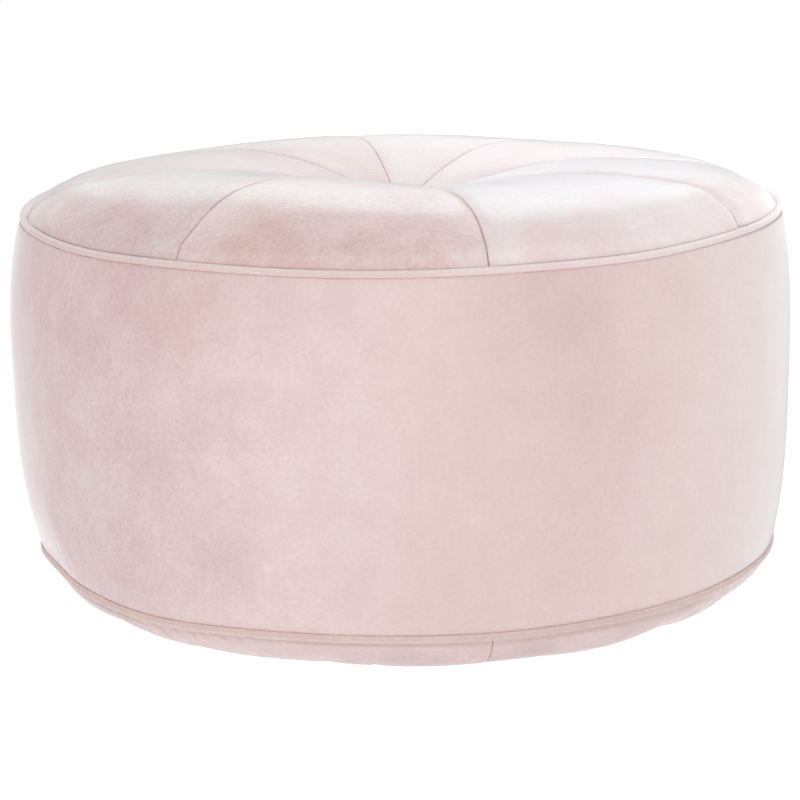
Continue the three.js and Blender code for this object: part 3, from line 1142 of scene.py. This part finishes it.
def build_camera():
    data = bpy.data.cameras.new("camera")
    data.sensor_width = SENSOR_WIDTH
    data.lens = LENS
    data.clip_start = 0.05
    data.clip_end = 60
    camera = bpy.data.objects.new("camera", data)
    bpy.context.scene.collection.objects.link(camera)
    tilt = Matrix.Rotation(math.radians(90 - CAMERA_PITCH), 4, "X")
    roll = Matrix.Rotation(math.radians(CAMERA_ROLL), 4, "Z")
    camera.matrix_world = Matrix.Translation(Vector(CAMERA_PLACE) * MM) @ tilt @ roll
    bpy.context.scene.camera = camera


def brightness(tree, lighting):
    """White as the background of the picture, and at another strength as a source of light."""
    seen = tree.nodes.new("ShaderNodeMapRange")
    seen.inputs["To Min"].default_value = lighting
    seen.inputs["To Max"].default_value = 1.0
    tree.links.new(tree.nodes.new("ShaderNodeLightPath").outputs["Is Camera Ray"], seen.inputs["Value"])
    return seen.outputs[0]


def build_stage():
    mesh = bpy.data.meshes.new("floor")
    corners = [(x * FLOOR_REACH, y * FLOOR_REACH, 0) for x, y in ((-1, -1), (1, -1), (1, 1), (-1, 1))]
    mesh.from_pydata(corners, [], [(0, 1, 2, 3)])
    floor = bpy.data.objects.new("floor", mesh)
    bpy.context.scene.collection.objects.link(floor)
    material = bpy.data.materials.new("floor")
    material.use_nodes = True
    shader = material.node_tree.nodes["Principled BSDF"]
    shader.inputs["Base Color"].default_value = (0.2, 0.2, 0.2, 1)
    shader.inputs["Roughness"].default_value = 1
    shader.inputs["Specular IOR Level"].default_value = 0
    shader.inputs["Emission Color"].default_value = (1, 1, 1, 1)
    seen = brightness(material.node_tree, FLOOR_GLOW)
    material.node_tree.links.new(seen, shader.inputs["Emission Strength"])
    mesh.materials.append(material)


def area_light(name, stand, size, watts):
    data = bpy.data.lights.new(name, "AREA")
    data.shape = "DISK"
    data.size = size
    data.energy = watts
    lamp = bpy.data.objects.new(name, data)
    bpy.context.scene.collection.objects.link(lamp)
    lamp.location = stand
    lamp.rotation_euler = (Vector(LIT_PLACE) - Vector(stand)).to_track_quat("-Z", "Y").to_euler()


def build_lights():
    world = bpy.data.worlds.new("studio")
    world.use_nodes = True
    tree = world.node_tree
    sky = tree.nodes["Background"]
    sky.inputs["Color"].default_value = (1, 1, 1, 1)
    tree.links.new(brightness(tree, SKY_GLOW), sky.inputs["Strength"])
    bpy.context.scene.world = world
    for lamp in LAMPS:
        area_light(**lamp)


def add_piece(mesh, node, material):
    mesh.materials.append(material)
    mesh.shade_smooth()
    piece = bpy.data.objects.new(mesh.name, mesh)
    bpy.context.scene.collection.objects.link(piece)
    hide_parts(node)
    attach(piece, BODY)


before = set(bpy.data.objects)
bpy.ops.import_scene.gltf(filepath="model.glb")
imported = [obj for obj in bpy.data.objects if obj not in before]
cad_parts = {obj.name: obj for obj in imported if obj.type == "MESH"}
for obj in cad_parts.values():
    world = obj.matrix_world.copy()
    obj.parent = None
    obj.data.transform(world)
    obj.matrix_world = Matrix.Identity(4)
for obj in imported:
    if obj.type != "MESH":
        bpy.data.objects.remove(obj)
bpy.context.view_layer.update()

build_camera()
build_stage()
build_lights()
bpy.context.scene.view_settings.view_transform = "Standard"

top_ring = Ring("top_piping", TOP_RING_MARKS)
bottom_ring = Ring("bottom_piping", BOTTOM_RING_MARKS)
crown = Crown(top_ring)
band = Band(top_ring, bottom_ring)
base = Base(bottom_ring)

side_velvet = velvet("side velvet", SIDE_PILE_AND_LIGHT, streaks_along=(1, 1, 0.12), brushed_and_painted=SIDE_BRUSHED_AND_PAINTED_SHADE)
# A painted highlight whitens the cords along their tops, and painted light lifts the shade in the seams of
# the bottom cord and the base.
top_cord_velvet = velvet("top cord velvet", TOP_CORD_PILE_AND_LIGHT, pale_on_top=0.6)
bottom_cord_velvet = velvet("bottom cord velvet", BOTTOM_CORD_PILE_AND_LIGHT, pale_on_top=0.35, seam_paint=BASE_SEAM_PAINTED_LIGHT)
base_velvet = velvet(
    "base velvet", BASE_PILE_AND_LIGHT, streaks_along=(1, 1, 0.3), brushed_and_painted=PAINTED_BASE_SHADE, seam_paint=BASE_SEAM_PAINTED_LIGHT
)

crown_field = settle_crown(crown)
band_field = settle_band(band)
base_field = settle_gores(base)[0]

for gore in range(GORES):
    crown_gore = build_crown_gore(crown, crown_field, gore)
    pile = CROWN_PILE_AND_LIGHT[gore]
    level = (pile["level"], LEVEL_CROWN)
    # The second gore also takes the painted shade beside its seam, and each gore scales the painted shade in
    # its seams by its shade.
    brushed_and_painted = CROWN_BRUSHED_AND_PAINTED_LIGHT + PAINTED_SHADE_BY_SEAM if gore == PAINTED_SHADE_BY_SEAM_GORE else CROWN_BRUSHED_AND_PAINTED_LIGHT
    seam_paint = tuple(pile["shade"] * channel for channel in CROWN_SEAM_PAINTED_SHADE)
    crown_velvet = velvet(
        f"crown velvet {gore + 1}",
        pile,
        streaks_along=(1, 1, 0.4),
        brushed_and_painted=brushed_and_painted,
        pale_on_top=pile["pale_on_top"],
        level=level,
        seam_paint=seam_paint,
    )
    add_piece(crown_gore, f"crown_gore_{gore + 1}", crown_velvet)
    base_gore = build_base_gore(base, base_field, gore)
    add_piece(base_gore, f"base_gore_{gore + 1}", base_velvet)
add_piece(build_band(band, band_field), "side_band", side_velvet)
top_cord = build_piping("top_cord", top_ring, seed=5)
add_piece(top_cord, "top_piping", top_cord_velvet)
bottom_cord = build_piping("bottom_cord", bottom_ring, seed=6)
add_piece(bottom_cord, "bottom_piping", bottom_cord_velvet)
